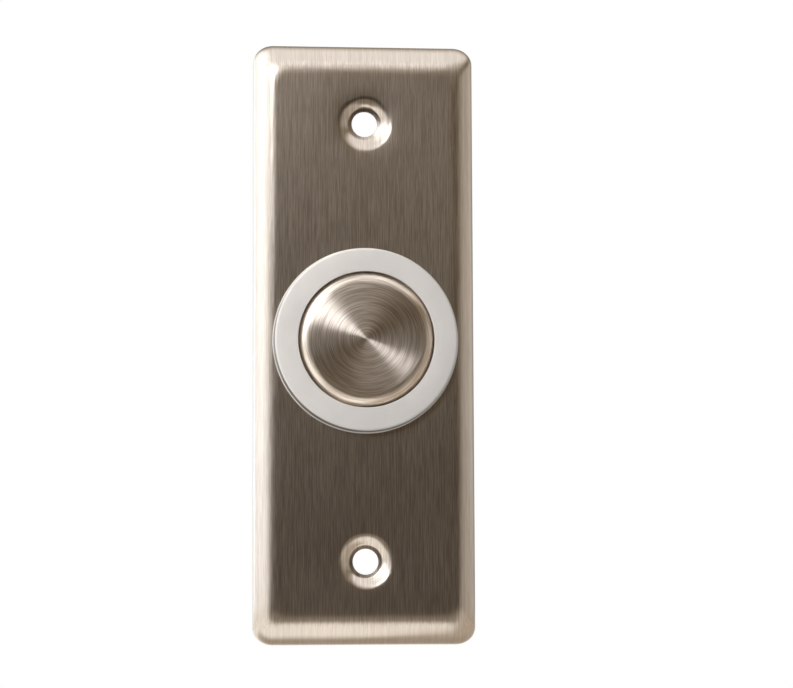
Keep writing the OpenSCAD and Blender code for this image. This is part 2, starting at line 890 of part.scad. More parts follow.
module switch_case() {
    half_w = switch_w / 2;
    color([0.13, 0.13, 0.14])
        upright()
            difference() {
                union() {
                    along_x(-half_w, switch_w - switch_wall)
                        switch_outline();
                    along_x(-half_w, switch_wall)
                        ear_outline();
                }
                along_x(-half_w + switch_wall, switch_w)
                    translate([switch_low_y + switch_wall, cavity_z])
                        square([switch_high_y - switch_low_y - 2 * switch_wall, cavity_top_z - cavity_z]);
                translate([0, hinge_y, hinge_z])
                    drill_x(hinge_r + fit_gap, switch_w);
                translate([0, pin_y, 0])
                    drill(pin_r + slide_gap, cavity_top_z - past, switch_z + past);
                at_switch_screws()
                    drill_x(screw_bore_r, switch_w);
                for (y = switch_blades)
                    translate([0, y + blade_t / 2, 0])
                        blade_slot(blade_w, blade_t, foot_z - past, cavity_z + past);
            }
}

module switch_cover() {
    color([0.3, 0.3, 0.31])
        upright()
            difference() {
                along_x(switch_w / 2 - switch_wall, switch_wall) {
                    switch_outline();
                    ear_outline();
                }
                translate([0, hinge_y, hinge_z])
                    drill_x(hinge_r + fit_gap, switch_w);
                at_switch_screws()
                    drill_x(screw_bore_r, switch_w);
            }
}

module switch_screws() {
    head_x = web_x + web_t;
    color([0.7, 0.7, 0.7])
        upright()
            at_switch_screws()
                translate([head_x, 0, 0])
                    rotate([0, -90, 0])
                        small_screw(2 * head_x);
}

module hinge_pin() {
    color([0.7, 0.7, 0.7])
        upright()
            translate([0, hinge_y, hinge_z])
                drill_x(hinge_r, switch_w / 2);
}

module switch_lever() {
    color([0.78, 0.77, 0.74])
        upright()
            along_x(-lever_w / 2, lever_w)
                translate([hinge_y, hinge_z])
                    rotate(-tilt)
                        difference() {
                            union() {
                                circle(knuckle_r);
                                translate([-lever_l, -lever_t / 2])
                                    square([lever_l, lever_t]);
                            }
                            circle(hinge_r + slide_gap);
                        }
}

// Drawn from the centre of its dome down
module switch_pin() {
    collar_top = cavity_top_z - push_gap - pin_dome_z;
    collar_low = collar_top - pin_collar;
    collar_out = pin_r + pin_collar;
    foot = pin_foot_z - pin_dome_z;
    color([0.85, 0.2, 0.15])
        upright()
            translate([0, pin_y, pin_dome_z]) {
                sphere(pin_r - dome_step);
                rotate_extrude()
                    polygon([
                        [0, 0], [pin_r, 0], [pin_r, collar_top], [collar_out, collar_top],
                        [collar_out, collar_low], [pin_r, collar_low], [pin_r / 2, foot], [0, foot]
                    ]);
            }
}

// Places an outline drawn along the contact spring at the spring's pivot and rest angle
module at_contact_pivot() {
    translate([pivot_y, pivot_z])
        rotate(contact_tilt)
            children();
}

module contact_spring() {
    color([0.75, 0.5, 0.25])
        upright()
            difference() {
                along_x(-contact_spring_w / 2, contact_spring_w)
                    at_contact_pivot()
                        difference() {
                            union() {
                                circle(hook_r);
                                translate([0, -contact_spring_t / 2])
                                    square([contact_reach + contact_r, contact_spring_t]);
                            }
                            circle(hook_in_r);
                            polygon([[0, 0], polar(2 * hook_r, 225), polar(2 * hook_r, 315)]);
                        }
                contact_rivet(contact_r / 2 + fit_gap);
            }
}

// Neck of the moving contact, square to the contact spring
module contact_rivet(r) {
    translate([0, pivot_y, pivot_z])
        rotate([contact_tilt, 0, 0])
            translate([0, contact_reach, 0])
                cylinder(r = r, h = contact_spring_t + 2 * contact_h, center = true);
}

module moving_contact() {
    seat = contact_spring_t / 2;
    face = seat + contact_h;
    color([0.85, 0.85, 0.86])
        upright()
            translate([0, pivot_y, pivot_z])
                rotate([contact_tilt, 0, 0])
                    translate([0, contact_reach, 0])
                        rotate_extrude()
                            polygon([
                                [0, face], [contact_r, face], [contact_r, seat], [contact_r / 2, seat],
                                [contact_r / 2, -seat], [contact_r, -seat], [contact_r, -face], [0, -face]
                            ]);
}

module fixed_contacts() {
    color([0.85, 0.85, 0.86])
        upright()
            translate([0, contact_y, 0]) {
                drill(contact_r, closed_face_z, closed_face_z + contact_h);
                drill(contact_r, open_face_z - contact_h, open_face_z);
            }
}

// Cut that bevels the two corners at the end of a blade that lies across x
module blade_corners() {
    side = blade_chamfer * sqrt(2);
    for (x = [-1, 1])
        translate([x * blade_w / 2, 0, tab_z])
            rotate([0, 45, 0])
                cube([side, 2 * past, side], center = true);
}

// Terminal bent from strip: an outline in y and z, with a solder hole near the end of its blade
module bent_terminal(blade_y) {
    color([0.8, 0.72, 0.5])
        upright()
            difference() {
                along_x(-blade_w / 2, blade_w)
                    children();
                translate([0, blade_y, tab_z + tab_l / 2])
                    drill_y(solder_hole_d / 2, past);
                translate([0, blade_y, 0])
                    blade_corners();
            }
}

module normally_closed_terminal() {
    shelf_z = closed_face_z + contact_h;
    shelf_y = contact_y - contact_r;
    outer_y = closed_blade_y + blade_t;
    bent_terminal(closed_blade_y)
        polygon([
            [closed_blade_y, tab_z], [outer_y, tab_z], [outer_y, shelf_z + blade_t],
            [shelf_y, shelf_z + blade_t], [shelf_y, shelf_z], [closed_blade_y, shelf_z]
        ]);
}

module normally_open_terminal() {
    shelf_z = open_face_z - contact_h;
    shelf_y = contact_y + contact_r;
    inner_y = open_blade_y + blade_t;
    bent_terminal(open_blade_y)
        polygon([
            [open_blade_y, tab_z], [inner_y, tab_z], [inner_y, shelf_z - blade_t],
            [shelf_y, shelf_z - blade_t], [shelf_y, shelf_z], [open_blade_y, shelf_z]
        ]);
}

module common_terminal() {
    bent_terminal(common_blade_y) {
        translate([common_blade_y, tab_z])
            square([blade_t, pivot_z - tab_z]);
        translate([pivot_y, pivot_z])
            circle(pivot_rod_r);
    }
}

faceplate();
halo_ring();
ring_gasket();
lock_washer();
fixing_nut();
switch_housing();
rear_cover();
cover_screws();
led_board();
leds();
resistors();
led_terminals();
button_cap();
plunger();
plunger_seal();
retaining_clip();
return_spring();
switch_case();
switch_cover();
switch_screws();
hinge_pin();
switch_lever();
switch_pin();
contact_spring();
moving_contact();
fixed_contacts();
common_terminal();
normally_open_terminal();
normally_closed_terminal();
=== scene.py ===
"""Dresses the wall push button: finishes, modelled pieces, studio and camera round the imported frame."""

import logging
import math
from abc import ABC, abstractmethod
from dataclasses import dataclass
from enum import Enum
from itertools import pairwise
from typing import Callable, Sequence, Union

import bmesh
import bpy
from mathutils import Matrix, Vector


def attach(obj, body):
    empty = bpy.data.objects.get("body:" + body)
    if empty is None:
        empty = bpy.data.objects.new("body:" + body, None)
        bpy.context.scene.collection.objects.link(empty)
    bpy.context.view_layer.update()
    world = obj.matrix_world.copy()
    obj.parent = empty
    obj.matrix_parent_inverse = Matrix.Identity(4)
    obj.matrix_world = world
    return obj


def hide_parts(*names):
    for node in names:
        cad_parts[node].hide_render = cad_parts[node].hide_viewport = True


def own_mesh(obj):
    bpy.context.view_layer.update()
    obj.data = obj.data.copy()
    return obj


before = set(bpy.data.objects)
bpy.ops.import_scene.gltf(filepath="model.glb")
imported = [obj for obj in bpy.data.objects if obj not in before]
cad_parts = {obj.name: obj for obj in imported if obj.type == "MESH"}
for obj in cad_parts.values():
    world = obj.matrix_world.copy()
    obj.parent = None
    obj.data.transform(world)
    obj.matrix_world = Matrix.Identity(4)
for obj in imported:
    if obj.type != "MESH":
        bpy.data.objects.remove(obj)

MM = 0.001
FULL_TURN = 2 * math.pi
QUARTER_TURN = math.pi / 2
IMAGE_W = 793
HAZE_SHARE = 0.28
HAZE_ROUGHNESS = 0.285
SAME_POINT = 1e-7
TOUCHING = 1e-6
LOOP_SLACK = 0.02 * MM
STRAIGHT = 0.99

FRONT = (0.0, -1.0, 0.0)
BACK = (0.0, 1.0, 0.0)
LEFT = (-1.0, 0.0, 0.0)
RIGHT = (1.0, 0.0, 0.0)
UP = (0.0, 0.0, 1.0)
DOWN = (0.0, 0.0, -1.0)
CENTER = (0.0, 0.0, 0.0)
WHITE = (1.0, 1.0, 1.0)

log = logging.getLogger("push_button")

Color = tuple[float, float, float]
Point = tuple[float, float]
Loop = tuple[float, float, float]
Term = Union["Socket", float, Color]
Test = Callable[[Vector, Vector], bool]


def spot(x: float, up: float, out: float) -> Vector:
    """Turns millimetres right, up and out of the wall into a point of the frame in metres."""
    return Vector((x, -out, up)) * MM


def arc(center: Point, radius: float, start: float, end: float, steps: int) -> list[Point]:
    """Gives points along an arc of a half section.

    Args:
        center: Middle of the arc as radius and height.
        radius: Radius of the arc.
        start: First angle in degrees, 0 pointing outward and 90 up.
        end: Last angle in degrees.
        steps: Number of straight steps.

    Returns:
        The points from start to end, both included.
    """
    angles = [math.radians(start + (end - start) * i / steps) for i in range(steps + 1)]
    return [(center[0] + radius * math.cos(a), center[1] + radius * math.sin(a)) for a in angles]


# Shader maths


class Socket:
    """A shader output that takes part in Python arithmetic."""

    def __init__(self, graph: "Graph", out: bpy.types.NodeSocket | None) -> None:
        """Keeps the output, which a node that ends the tree lacks, and its graph."""
        self.graph = graph
        self.out = out

    def _math(self, operation: str, first: Term, second: Term) -> "Socket":
        """Adds one Math node."""
        return self.graph.add("ShaderNodeMath", {"operation": operation}, {0: first, 1: second})

    def __add__(self, other: Term) -> "Socket":
        """Adds on the right."""
        return self._math("ADD", self, other)

    def __radd__(self, other: Term) -> "Socket":
        """Adds on the left."""
        return self._math("ADD", other, self)

    def __sub__(self, other: Term) -> "Socket":
        """Takes a term away."""
        return self._math("SUBTRACT", self, other)

    def __rsub__(self, other: Term) -> "Socket":
        """Is taken away from a term."""
        return self._math("SUBTRACT", other, self)

    def __mul__(self, other: Term) -> "Socket":
        """Multiplies on the right."""
        return self._math("MULTIPLY", self, other)

    def __rmul__(self, other: Term) -> "Socket":
        """Multiplies on the left."""
        return self._math("MULTIPLY", other, self)

    def __truediv__(self, other: Term) -> "Socket":
        """Divides by a term."""
        return self._math("DIVIDE", self, other)

    def __rtruediv__(self, other: Term) -> "Socket":
        """Divides a term."""
        return self._math("DIVIDE", other, self)

    def either(self, other: Term) -> "Socket":
        """Gives the larger of two."""
        return self._math("MAXIMUM", self, other)

    def sine(self) -> "Socket":
        """Gives the sine."""
        return self._math("SINE", self, 0.0)

    def fraction(self) -> "Socket":
        """Gives what is left above the whole number below."""
        return self._math("FRACT", self, 0.0)

    def fade(self, low: float, high: float) -> "Socket":
        """Rises smoothly from 0 at low to 1 at high."""
        return self.graph.add(
            "ShaderNodeMapRange",
            {"interpolation_type": "SMOOTHSTEP"},
            {"Value": self, "From Min": low, "From Max": high},
        )


class Graph:
    """The node tree of a material or of the world."""

    def __init__(self, tree: bpy.types.NodeTree) -> None:
        """Empties the tree."""
        self.tree = tree
        tree.nodes.clear()

    def add(
        self,
        kind: str,
        settings: dict[str, object] | None = None,
        sockets: dict[str | int, object] | None = None,
        out: str | int = 0,
    ) -> Socket:
        """Adds one node.

        Args:
            kind: Blender's name for the type of node.
            settings: Properties of the node, set first.
            sockets: Values or links of the node's inputs.
            out: Which output is wanted.

        Returns:
            The wanted output.
        """
        node = self.tree.nodes.new(kind)
        for name, value in (settings or {}).items():
            setattr(node, name, value)
        for key, value in (sockets or {}).items():
            target = node.inputs[key]
            if isinstance(value, Socket):
                self.tree.links.new(value.out, target)
            elif isinstance(value, tuple) and len(value) == 3 and target.type == "RGBA":
                target.default_value = (*value, 1.0)
            else:
                target.default_value = value
        return Socket(self, node.outputs[out] if node.outputs else None)

    def place(self, scale: Color = (1.0, 1.0, 1.0)) -> Socket:
        """Gives object coordinates, stretched by a factor along each axis."""
        coords = self.add("ShaderNodeTexCoord", out="Object")
        return self.add("ShaderNodeMapping", sockets={"Vector": coords, "Scale": scale})

    def split(self, vector: Socket, axes: str) -> list[Socket]:
        """Gives the named parts of a vector."""
        return [self.add("ShaderNodeSeparateXYZ", sockets={"Vector": vector}, out=axis) for axis in axes]

    def length(self, vector: Socket) -> Socket:
        """Gives the length of a vector."""
        return self.add("ShaderNodeVectorMath", {"operation": "LENGTH"}, {0: vector}, out="Value")

    def ray(self, kind: str) -> Socket:
        """Is 1 for one kind of ray, such as Camera or Glossy."""
        return self.add("ShaderNodeLightPath", out=f"Is {kind} Ray")

    def grain(self, vector: Socket, detail: float = 2.0, rough: float = 0.5) -> Socket:
        """Gives a noise value along a vector.

        Args:
            vector: Place in the noise, one grain to the unit.
            detail: Octaves.
            rough: Weight of the finer octaves.

        Returns:
            The noise, about 0.5 in the middle.
        """
        return self.add(
            "ShaderNodeTexNoise",
            sockets={"Vector": vector, "Scale": 1.0, "Detail": detail, "Roughness": rough},
        )

    def noise(self, scale: Color, detail: float = 2.0, rough: float = 0.5) -> Socket:
        """Gives a noise value on object coordinates, with so many grains per metre along each axis."""
        return self.grain(self.place(scale), detail, rough)

    def blend(self, share: Term, first: Term, second: Term) -> Socket:
        """Mixes two colours."""
        return self.add(
            "ShaderNodeMix",
            {"data_type": "RGBA"},
            {"Factor": share, 6: first, 7: second},
            out=2,
        )

    def reach(self, way: Socket, toward: Color) -> Socket:
        """Gives how far a way points toward a direction, from -1 to 1."""
        return self.add(
            "ShaderNodeVectorMath", {"operation": "DOT_PRODUCT"}, {0: way, 1: toward}, out="Value"
        )

    def bump(self, height: Socket, depth: float, strength: float = 1.0) -> Socket:
        """Turns a height from 0 to 1 into a bent normal.

        Args:
            height: The height.
            depth: Depth of the relief in metres.
            strength: Share of the effect.

        Returns:
            The normal.
        """
        return self.add(
            "ShaderNodeBump", sockets={"Strength": strength, "Distance": depth, "Height": height}
        )

    def surface(self, sockets: dict[str, object], haze: float = 0.0) -> None:
        """Ends the graph in a Principled surface.

        Args:
            sockets: Inputs of the surface.
            haze: Share of a rougher lobe over the same surface.
        """
        shader = self.add("ShaderNodeBsdfPrincipled", sockets=sockets)
        if haze:
            rough = self.add("ShaderNodeBsdfPrincipled", sockets={**sockets, "Roughness": HAZE_ROUGHNESS})
            shader = self.add("ShaderNodeMixShader", sockets={0: haze, 1: shader, 2: rough})
        self.add("ShaderNodeOutputMaterial", sockets={"Surface": shader})


# Finishes


class Finish(ABC):
    """How a surface looks; each finish makes one material."""

    name: str

    def material(self) -> bpy.types.Material:
        """Returns the finish's material, made at its first use."""
        made = bpy.data.materials.get("finish_" + self.name)
        if made is None:
            made = bpy.data.materials.new("finish_" + self.name)
            made.use_nodes = True
            self.draw(Graph(made.node_tree))
        return made

    @abstractmethod
    def draw(self, graph: Graph) -> None:
        """Lays the finish's nodes in an empty graph."""


@dataclass(frozen=True)
class Brush:
    """One pass of a brush: lines per metre across and along the sheet, and its share in the look."""

    across: float
    along: float
    share: float


@dataclass(frozen=True)
class BrushedSteel(Finish):
    """Stainless sheet with brush lines along its length, calmer where it is bent over the rim."""

    name: str
    light: Color = (0.845, 0.74, 0.625)
    dark: Color = (0.537, 0.459, 0.376)
    passes: tuple[Brush, ...] = (Brush(6500.0, 210.0, 0.55), Brush(5200.0, 60.0, 0.45))
    clouds: Color = (60.0, 60.0, 30.0)
    flat_half: Point = (17.2 * MM, 52.5 * MM)
    bend_half: Point = (19.5 * MM, 55.0 * MM)
    side_share: float = 0.25
    calm: float = 0.6
    rough: float = 0.13
    relief: float = 0.008 * MM

    def draw(self, graph: Graph) -> None:
        """Lays short fine streaks, which follow the sheet over its bends, on faint broad clouds."""
        x, y, z = graph.split(graph.place(), "XYZ")
        side, end = (
            (way * way).fade(flat ** 2, bend ** 2)
            for way, flat, bend in zip((x, z), self.flat_half, self.bend_half)
        )
        streak: Term = 0.0
        for brush in self.passes:
            down = y * (self.side_share * brush.across * side * (1.0 - end) + brush.along * end)
            lines = graph.add(
                "ShaderNodeCombineXYZ", sockets={"X": brush.across * x, "Y": down, "Z": brush.along * z}
            )
            streak = streak + brush.share * graph.grain(lines, rough=0.6)
        cloud = graph.noise(self.clouds)
        full = 1.0 - self.calm * (side + end - side * end)
        tone = 0.5 + full * ((0.9 * streak + 0.1 * cloud).fade(0.4, 0.6) - 0.5)
        graph.surface({
            "Base Color": graph.blend(tone, self.dark, self.light),
            "Metallic": 1.0,
            "Roughness": self.rough + 0.1 * streak + 0.03 * cloud,
            "Anisotropic": 0.3,
            "Normal": graph.bump(full * streak, self.relief),
        }, HAZE_SHARE)


@dataclass(frozen=True)
class TurnedSteel(Finish):
    """Stainless steel turned in fine circles about the button's axis."""

    name: str
    light: Color = (0.9, 0.785, 0.66)
    dark: Color = (0.587, 0.495, 0.405)
    pitch: float = 0.17 * MM
    depth: float = 0.01 * MM
    rough: float = 0.1
    edge_rough: float = 0.4
    dull_edge: Point = (12.0 * MM, 12.8 * MM)
    ring_lines: float = 6000.0
    arc_breaks: float = 160.0

    def draw(self, graph: Graph) -> None:
        """Lays the round-bottomed grooves of a turning tool about the Y axis, under broken arcs."""
        flat = graph.place((1.0, 0.0, 1.0))
        radius = graph.length(flat)
        x, z = graph.split(flat, "XZ")
        lines = graph.grain(graph.add("ShaderNodeCombineXYZ", sockets={
            "X": self.ring_lines * radius, "Y": self.arc_breaks * x, "Z": self.arc_breaks * z,
        }))
        across = 2.0 * (radius / self.pitch).fraction() - 1.0
        groove = across * across * (0.85 + 0.3 * lines)
        graph.surface({
            "Base Color": graph.blend(lines.fade(0.38, 0.62), self.dark, self.light),
            "Metallic": 1.0,
            "Roughness": self.rough + 0.06 * lines + self.edge_rough * radius.fade(*self.dull_edge),
            "Normal": graph.bump(groove, self.depth),
        }, HAZE_SHARE)


@dataclass(frozen=True)
class FrostedPlastic(Finish):
    """Milky translucent plastic with a blasted face."""

    name: str
    tint: Color = (0.6, 0.568, 0.536)
    shade: Color = (0.545, 0.516, 0.487)
    rough: float = 0.42

    def draw(self, graph: Graph) -> None:
        """Lays a fine blasted grain over faint clouds."""
        grain = graph.noise((5200.0, 5200.0, 5200.0), detail=3.0)
        cloud = graph.noise((180.0, 180.0, 180.0), detail=3.0)
        graph.surface({
            "Base Color": graph.blend((0.7 * cloud + 0.3 * grain).fade(0.25, 0.75), self.shade, self.tint),
            "Roughness": self.rough + 0.14 * grain,
            "Subsurface Weight": 0.25,
            "Subsurface Radius": (1.2 * MM, 1.2 * MM, 1.1 * MM),
            "Subsurface Scale": 1.0,
            "Normal": graph.bump(grain, 0.02 * MM, 0.5),
        })


@dataclass(frozen=True)
class MouldedPlastic(Finish):
    """Moulded plastic with a fine spark-eroded grain."""

    name: str
    tint: Color
    worn: Color
    rough: float = 0.42
    grain_scale: float = 3800.0

    def draw(self, graph: Graph) -> None:
        """Lays grain, flow clouds and a few lighter rubs."""
        grain = graph.noise((self.grain_scale,) * 3, detail=3.0)
        cloud = graph.noise((140.0, 140.0, 140.0), detail=3.0)
        rubs = graph.noise((420.0, 420.0, 420.0), detail=4.0, rough=0.7).fade(0.6, 0.78)
        graph.surface({
            "Base Color": graph.blend(0.35 * cloud + 0.45 * rubs, self.tint, self.worn),
            "Roughness": self.rough + 0.16 * grain - 0.08 * cloud,
            "Normal": graph.bump(0.75 * grain + 0.25 * cloud, 0.04 * MM, 0.55),
        })


@dataclass(frozen=True)
class WorkedMetal(Finish):
    """Drawn, rolled or plated metal with its own grain."""

    name: str
    light: Color
    dark: Color
    rough: float = 0.26
    grain: Color = (2400.0, 300.0, 2400.0)

    def draw(self, graph: Graph) -> None:
        """Lays drawing lines and faint tarnish."""
        lines = graph.noise(self.grain, detail=3.0, rough=0.6)
        tarnish = graph.noise((360.0, 360.0, 360.0), detail=4.0, rough=0.6)
        graph.surface({
            "Base Color": graph.blend((0.5 * lines + 0.5 * tarnish).fade(0.32, 0.68), self.dark, self.light),
            "Metallic": 1.0,
            "Roughness": self.rough + 0.14 * tarnish + 0.1 * lines,
            "Normal": graph.bump(lines, 0.02 * MM, 0.5),
        })


@dataclass(frozen=True)
class Rubber(Finish):
    """Matt black sealing rubber."""

    name: str
    tint: Color = (0.018, 0.018, 0.019)
    dust: Color = (0.06, 0.058, 0.055)

    def draw(self, graph: Graph) -> None:
        """Lays a dull bloom and pitted grain."""
        bloom = graph.noise((260.0, 260.0, 260.0), detail=4.0)
        pits = graph.noise((3000.0, 3000.0, 3000.0), detail=2.0)
        graph.surface({
            "Base Color": graph.blend(bloom.fade(0.45, 0.85), self.tint, self.dust),
            "Roughness": 0.6 + 0.25 * bloom,
            "Normal": graph.bump(pits, 0.04 * MM, 0.5),
        })


@dataclass(frozen=True)
class BoardLaminate(Finish):
    """Glass laminate under green solder mask, with ring tracks."""

    name: str
    mask: Color = (0.012, 0.11, 0.045)
    track: Color = (0.035, 0.2, 0.075)
    track_scale: float = 3600.0
    weave_scale: float = 5200.0

    def draw(self, graph: Graph) -> None:
        """Lays tracks about the axis and the weave of the glass."""
        radius = graph.length(graph.place((1.0, 0.0, 1.0)))
        tracks = (radius * self.track_scale).sine().fade(0.2, 0.45)
        across, along = graph.split(graph.place((self.weave_scale,) * 3), "XZ")
        weave = across.sine() * along.sine()
        graph.surface({
            "Base Color": graph.blend(tracks, self.mask, self.track),
            "Roughness": 0.24 + 0.06 * weave,
            "Coat Weight": 0.3,
            "Normal": graph.bump(tracks + 0.15 * weave, 0.04 * MM, 0.6),
        })


@dataclass(frozen=True)
class LampPhosphor(Finish):
    """Clear resin over a yellow phosphor."""

    name: str
    resin: Color = (0.86, 0.8, 0.5)
    phosphor: Color = (0.93, 0.72, 0.1)

    def draw(self, graph: Graph) -> None:
        """Lays speckled phosphor under resin."""
        speck = graph.noise((6000.0, 6000.0, 6000.0), detail=2.0)
        graph.surface({
            "Base Color": graph.blend(speck.fade(0.3, 0.7), self.phosphor, self.resin),
            "Roughness": 0.2 + 0.12 * speck,
            "Coat Weight": 0.5,
            "Normal": graph.bump(speck, 0.01 * MM, 0.4),
        })


BRUSHED_PLATE = BrushedSteel("brushed_plate")
TURNED_CAP = TurnedSteel("turned_cap")
FROSTED_RING = FrostedPlastic("frosted_ring")
# Painted shade: dark grey for the ring's outer wall, standing for the shade it lies in beside the plate.
RING_WALL_PAINTED_SHADE = FrostedPlastic("ring_wall", (0.16, 0.16, 0.145), (0.1, 0.1, 0.09), 0.3)
BLACK_RUBBER = Rubber("black_rubber")
BLACK_NYLON = MouldedPlastic("black_nylon", (0.028, 0.028, 0.03), (0.06, 0.06, 0.062))
PLATED_STEEL = WorkedMetal("plated_steel", (0.78, 0.78, 0.77), (0.56, 0.57, 0.58), 0.2)
SPRING_STEEL = WorkedMetal("spring_steel", (0.66, 0.66, 0.67), (0.46, 0.46, 0.47), 0.18)
CONTACT_SILVER = WorkedMetal("contact_silver", (0.86, 0.85, 0.83), (0.68, 0.67, 0.65), 0.14)
TINNED_BRASS = WorkedMetal(
    "tinned_brass", (0.82, 0.77, 0.62), (0.66, 0.58, 0.4), 0.24, grain=(3200.0, 240.0, 3200.0)
)

NODE_FINISHES: dict[str, Finish] = {
    "lock_washer": PLATED_STEEL,
    "fixing_nut": BLACK_NYLON,
    "switch_housing": BLACK_NYLON,
    "rear_cover": BLACK_NYLON,
    "led_board": BoardLaminate("board_green"),
    "leds": LampPhosphor("lamp_yellow"),
    "resistors": MouldedPlastic("chip_black", (0.03, 0.03, 0.032), (0.1, 0.1, 0.1), 0.3),
    "led_terminals": TINNED_BRASS,
    "plunger": BLACK_NYLON,
    "plunger_seal": BLACK_RUBBER,
    "retaining_clip": SPRING_STEEL,
    "switch_case": MouldedPlastic("switch_black", (0.022, 0.022, 0.024), (0.07, 0.07, 0.07), 0.34),
    "switch_cover": MouldedPlastic("switch_grey", (0.11, 0.11, 0.115), (0.19, 0.19, 0.19), 0.38),
    "hinge_pin": PLATED_STEEL,
    "switch_lever": SPRING_STEEL,
    "switch_pin": MouldedPlastic("pin_red", (0.42, 0.03, 0.022), (0.55, 0.1, 0.07), 0.34),
    "contact_spring": WorkedMetal("contact_copper", (0.72, 0.44, 0.27), (0.5, 0.27, 0.15), 0.2),
    "moving_contact": CONTACT_SILVER,
    "fixed_contacts": CONTACT_SILVER,
    "common_terminal": TINNED_BRASS,
    "normally_open_terminal": TINNED_BRASS,
    "normally_closed_terminal": TINNED_BRASS,
    "ring_gasket": BLACK_RUBBER,
}


# Modelling


class Part(Enum):
    """What is picked in edit mode."""

    VERT = "VERT"
    EDGE = "EDGE"
    FACE = "FACE"


class Shaper:
    """Shapes one mesh with Blender's own operators, as by hand."""

    def __init__(self, name: str) -> None:
        """Takes the primitive just added and opens it for editing."""
        self.obj = bpy.context.object
        self.obj.name = name
        self.obj.data.name = name
        bpy.ops.object.transform_apply(location=True, rotation=True, scale=True)
        bpy.ops.object.mode_set(mode="EDIT")
        bpy.ops.mesh.select_mode(type="VERT")

    @classmethod
    def block(cls, name: str, low: Vector, high: Vector) -> "Shaper":
        """Starts from a box between two corners."""
        bpy.ops.object.select_all(action="DESELECT")
        bpy.ops.mesh.primitive_cube_add(size=1.0, location=(low + high) / 2)
        bpy.context.object.scale = high - low
        return cls(name)

    @classmethod
    def lathe(cls, name: str, section: Sequence[Point], steps: int, closed: bool = True) -> "Shaper":
        """Turns a half section about the axis that points out of the wall.

        Args:
            name: Name of the piece.
            section: Points as radius and height out of the wall, in millimetres.
            steps: Number of steps of the full turn.
            closed: Whether the last point joins the first.

        Returns:
            The turned mesh, open for editing.
        """
        points = [spot(r, 0, out) for r, out in section]
        bpy.ops.object.select_all(action="DESELECT")
        bpy.ops.mesh.primitive_plane_add(size=MM, location=points[0])
        work = cls(name)
        bpy.ops.mesh.merge(type="CENTER")
        for here, there in pairwise(points):
            bpy.ops.mesh.extrude_region_move(TRANSFORM_OT_translate={"value": there - here})
        if closed:
            ends = (points[0], points[-1])
            work.pick(Part.VERT, lambda place, _: min((place - end).length for end in ends) < SAME_POINT)
            bpy.ops.mesh.edge_face_add()
        bpy.ops.mesh.select_all(action="SELECT")
        bpy.ops.mesh.spin(steps=steps, angle=FULL_TURN, center=CENTER, axis=BACK)
        work.close_up()
        return work

    def cut(self, cutter: "Shaper") -> None:
        """Takes another piece's room away and removes that piece."""
        bpy.ops.object.mode_set(mode="OBJECT")
        bpy.context.view_layer.objects.active = self.obj
        bpy.ops.object.mode_set(mode="EDIT")
        self.modify("BOOLEAN", object=cutter.obj, operation="DIFFERENCE", solver="EXACT")
        bpy.data.objects.remove(cutter.obj)

    def close_up(self) -> None:
        """Merges doubles and turns all faces outward."""
        bpy.ops.mesh.select_all(action="SELECT")
        bpy.ops.mesh.remove_doubles(threshold=TOUCHING)
        bpy.ops.mesh.normals_make_consistent(inside=False)

    def pick(self, kind: Part, test: Test, open_only: bool = False) -> None:
        """Selects vertices, edges or faces by place and direction.

        Args:
            kind: What is selected.
            test: Takes the middle and the normal, or for an edge its direction, and says yes or no.
            open_only: Whether only edges with fewer than two faces count.
        """
        bpy.ops.mesh.select_mode(type=kind.value)
        bpy.ops.mesh.select_all(action="DESELECT")
        work = bmesh.from_edit_mesh(self.obj.data)
        if kind is Part.VERT:
            items = [(v, v.co, v.normal) for v in work.verts]
        elif kind is Part.EDGE:
            items = [
                (e, (e.verts[0].co + e.verts[1].co) / 2, (e.verts[1].co - e.verts[0].co).normalized())
                for e in work.edges if not open_only or len(e.link_faces) < 2
            ]
        else:
            items = [(f, f.calc_center_median(), f.normal) for f in work.faces]
        for item, place, direction in items:
            if test(place, direction):
                item.select_set(True)
        work.select_flush_mode()
        bmesh.update_edit_mesh(self.obj.data)

    def draw_loop(self, center: Vector, loops: Sequence[Loop]) -> None:
        """Extrudes the picked loop of edges from step to step.

        Args:
            center: A point on the loop's axis, which points out of the wall.
            loops: Half width, half height and place out of the wall of the loop now and after each step,
                in millimetres.
        """
        for (wide, high, out), (next_wide, next_high, next_out) in pairwise(loops):
            bpy.ops.mesh.extrude_region_move(
                TRANSFORM_OT_translate={"value": (0.0, (out - next_out) * MM, 0.0)}
            )
            bpy.ops.transform.resize(
                value=(next_wide / wide, 1.0, next_high / high), center_override=center
            )

    def modify(self, kind: str, **settings: object) -> None:
        """Adds a modifier and applies it at once."""
        bpy.ops.object.mode_set(mode="OBJECT")
        made = self.obj.modifiers.new(kind.lower(), kind)
        for name, value in settings.items():
            setattr(made, name, value)
        bpy.ops.object.modifier_apply(modifier=made.name)
        bpy.ops.object.mode_set(mode="EDIT")

    def done(self, finish: Finish, smooth_deg: float = 32.0) -> bpy.types.Object:
        """Leaves edit mode, smooths what is round and gives the finish.

        Args:
            finish: The finish of the whole piece.
            smooth_deg: Edges bent by less than this look round.

        Returns:
            The finished object.
        """
        bpy.ops.object.mode_set(mode="OBJECT")
        bpy.ops.object.shade_smooth_by_angle(angle=math.radians(smooth_deg))
        self.obj.data.materials.clear()
        self.obj.data.materials.append(finish.material())
        return self.obj


def show(piece: bpy.types.Object, body: str, node: str) -> None:
    """Lets a piece stand for a node of the frame.

    Args:
        piece: The finished piece.
        body: Body that it rides on.
        node: Node that it replaces.
    """
    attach(piece, body)
    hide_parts(node)
    log.info("%s stands for %s, %d faces", piece.name, node, len(piece.data.polygons))


# Sub-assemblies


